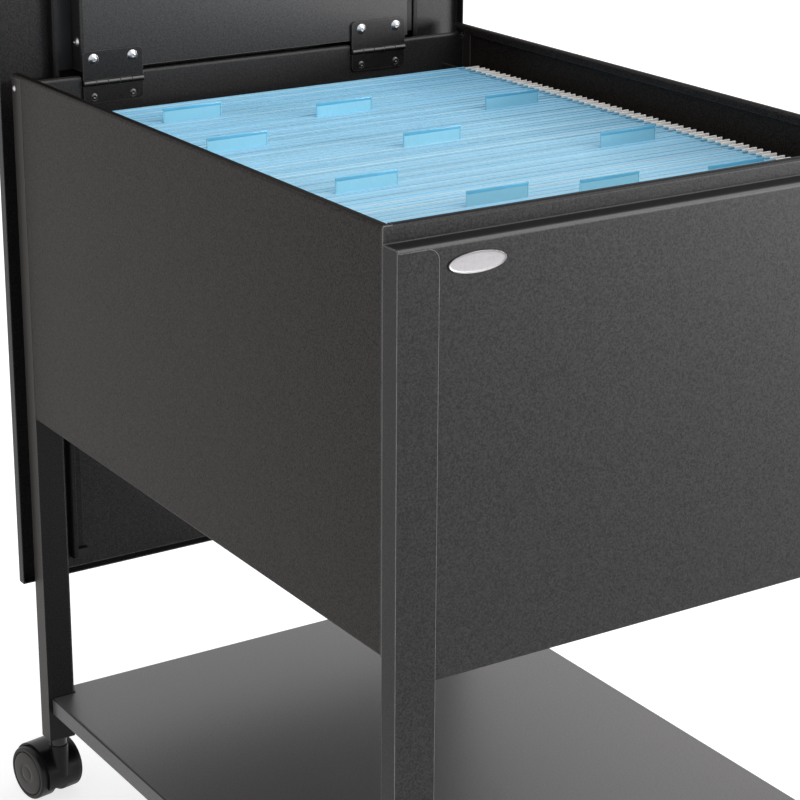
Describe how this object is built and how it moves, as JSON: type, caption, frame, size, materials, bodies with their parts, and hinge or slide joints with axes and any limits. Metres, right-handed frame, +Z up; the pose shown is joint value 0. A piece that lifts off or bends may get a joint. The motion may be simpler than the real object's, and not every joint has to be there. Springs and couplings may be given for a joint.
{
  "type": "mobile file cabinet",
  "caption": "Open-topped file tub for hanging folders on tall legs with casters and a lower shelf; its lid tilts up on hinges and slides down behind the cart.",
  "frame": {"origin": "middle of the bounding box at rest, on the floor that the casters stand on", "axes": "+X along the front, to the right as seen from the front; +Y from the front to the back; +Z up"},
  "size_m": [0.4952, 0.6406, 0.8193],
  "materials": {
    "body_paint": "charcoal powder coat with a fine grain",
    "inner_paint": "near-black powder coat",
    "bare_metal": "bright zinc plate",
    "rod_coat": "off-white coated steel",
    "folder_card": "pale blue coated card",
    "inner_card": "pale blue-white card",
    "tab_plastic": "clear blue plastic, blank",
    "black_plastic": "black nylon",
    "hood_plastic": "black, slightly glossy",
    "wheel_plastic": "dark grey-brown nylon"
  },
  "bodies": {
    "cart": {"left_wall": "body_paint", "right_wall": "body_paint", "front_wall": "body_paint", "front_panel": "body_paint", "back_wall": "inner_paint", "tub_floor": "inner_paint", "front_left_leg": "body_paint", "front_right_leg": "body_paint", "back_left_leg": "body_paint", "back_right_leg": "body_paint", "shelf": "body_paint", "shelf_screws": "inner_paint", "left_file_rail": "inner_paint", "right_file_rail": "inner_paint", "badge": "bare_metal", "leg_rivets": "bare_metal", "caster_sockets": "black_plastic", "caster_stems": "inner_paint", "left_hinge_fixed_leaf": "inner_paint", "right_hinge_fixed_leaf": "inner_paint", "hinge_pins": "bare_metal", "hinge_screws": "inner_paint"},
    "lid_carrier": {"lid_carrier": "inner_paint", "carrier_stiffener": "inner_paint", "left_hinge_moving_leaf": "inner_paint", "right_hinge_moving_leaf": "inner_paint", "hinge_rivets": "bare_metal", "carrier_rivets": "bare_metal", "lid_slides": "black_plastic"},
    "lid": {"lid_pan": "body_paint", "left_lid_rail": "inner_paint", "right_lid_rail": "inner_paint", "rail_stops": "black_plastic"},
    "folders": {"folder_front_leaves": "folder_card", "folder_back_leaves": "folder_card", "hanger_rods": "rod_coat", "inner_folders": "inner_card", "index_tabs": "tab_plastic"},
    "front_left_caster": {"front_left_hood": "hood_plastic", "front_left_axle": "bare_metal"},
    "front_left_outer_wheel": {"front_left_outer_wheel": "wheel_plastic"},
    "front_left_inner_wheel": {"front_left_inner_wheel": "wheel_plastic"},
    "front_right_caster": {"front_right_hood": "hood_plastic", "front_right_axle": "bare_metal"},
    "front_right_outer_wheel": {"front_right_outer_wheel": "wheel_plastic"},
    "front_right_inner_wheel": {"front_right_inner_wheel": "wheel_plastic"},
    "back_left_caster": {"back_left_hood": "hood_plastic", "back_left_axle": "bare_metal"},
    "back_left_outer_wheel": {"back_left_outer_wheel": "wheel_plastic"},
    "back_left_inner_wheel": {"back_left_inner_wheel": "wheel_plastic"},
    "back_right_caster": {"back_right_hood": "hood_plastic", "back_right_axle": "bare_metal"},
    "back_right_outer_wheel": {"back_right_outer_wheel": "wheel_plastic"},
    "back_right_inner_wheel": {"back_right_inner_wheel": "wheel_plastic"}
  },
  "joints": [
    {"name": "lid_tilt", "type": "hinge", "parent": "cart", "child": "lid_carrier", "pos_m": [0, 0.27123, 0.668], "axis": [1, 0, 0], "range_deg": [0, 90]},
    {"name": "lid_slide", "type": "slide", "parent": "lid_carrier", "child": "lid", "axis": [0, 0, 1], "range_m": [0, 0.443]},
    {"name": "folders_slide", "type": "slide", "parent": "cart", "child": "folders", "axis": [0, 1, 0], "range_m": [-0.008, 0.045]},
    {"name": "front_left_swivel", "type": "hinge", "parent": "cart", "child": "front_left_caster", "pos_m": [-0.2165, -0.31167, 0.0645], "axis": [0, 0, 1], "continuous": true},
    {"name": "front_left_outer_wheel_spin", "type": "hinge", "parent": "front_left_caster", "child": "front_left_outer_wheel", "pos_m": [-0.2165, -0.29167, 0.025], "axis": [1, 0, 0], "continuous": true},
    {"name": "front_left_inner_wheel_spin", "type": "hinge", "parent": "front_left_caster", "child": "front_left_inner_wheel", "pos_m": [-0.2165, -0.29167, 0.025], "axis": [1, 0, 0], "continuous": true},
    {"name": "front_right_swivel", "type": "hinge", "parent": "cart", "child": "front_right_caster", "pos_m": [0.2165, -0.31167, 0.0645], "axis": [0, 0, 1], "continuous": true},
    {"name": "front_right_outer_wheel_spin", "type": "hinge", "parent": "front_right_caster", "child": "front_right_outer_wheel", "pos_m": [0.2165, -0.29167, 0.025], "axis": [1, 0, 0], "continuous": true},
    {"name": "front_right_inner_wheel_spin", "type": "hinge", "parent": "front_right_caster", "child": "front_right_inner_wheel", "pos_m": [0.2165, -0.29167, 0.025], "axis": [1, 0, 0], "continuous": true},
    {"name": "back_left_swivel", "type": "hinge", "parent": "cart", "child": "back_left_caster", "pos_m": [-0.2165, 0.27053, 0.0645], "axis": [0, 0, 1], "continuous": true},
    {"name": "back_left_outer_wheel_spin", "type": "hinge", "parent": "back_left_caster", "child": "back_left_outer_wheel", "pos_m": [-0.21997, 0.29023, 0.025], "axis": [0.9848, 0.1736, 0], "continuous": true},
    {"name": "back_left_inner_wheel_spin", "type": "hinge", "parent": "back_left_caster", "child": "back_left_inner_wheel", "pos_m": [-0.21997, 0.29023, 0.025], "axis": [0.9848, 0.1736, 0], "continuous": true},
    {"name": "back_right_swivel", "type": "hinge", "parent": "cart", "child": "back_right_caster", "pos_m": [0.2165, 0.27053, 0.0645], "axis": [0, 0, 1], "continuous": true},
    {"name": "back_right_outer_wheel_spin", "type": "hinge", "parent": "back_right_caster", "child": "back_right_outer_wheel", "pos_m": [0.21997, 0.29023, 0.025], "axis": [0.9848, -0.1736, 0], "continuous": true},
    {"name": "back_right_inner_wheel_spin", "type": "hinge", "parent": "back_right_caster", "child": "back_right_inner_wheel", "pos_m": [0.21997, 0.29023, 0.025], "axis": [0.9848, -0.1736, 0], "continuous": true}
  ]
}
